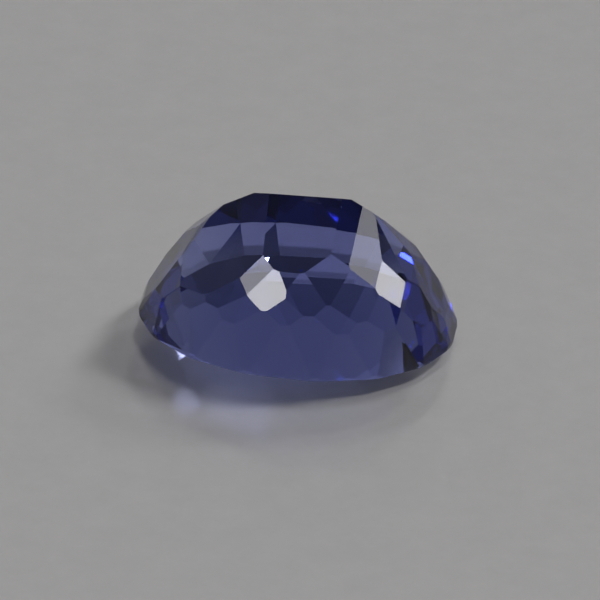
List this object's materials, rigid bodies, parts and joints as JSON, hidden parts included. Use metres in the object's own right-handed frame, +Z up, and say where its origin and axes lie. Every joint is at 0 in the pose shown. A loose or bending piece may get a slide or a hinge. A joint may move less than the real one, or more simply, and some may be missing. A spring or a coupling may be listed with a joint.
{
  "type": "cut oval tanzanite",
  "caption": "Faceted oval tanzanite gemstone, blue-violet and clear, lying on its table with the deep pavilion up.",
  "frame": {"origin": "on the floor under the middle of the stone's bounding box", "axes": "+X along the stone's length, +Y across it, +Z up from the table to the pavilion"},
  "size_m": [0.0089, 0.0064, 0.0045],
  "materials": {
    "tanzanite": "polished, transparent blue-violet, refractive index 1.69"
  },
  "bodies": {
    "root": {"cut_stone": "tanzanite"}
  },
  "joints": []
}
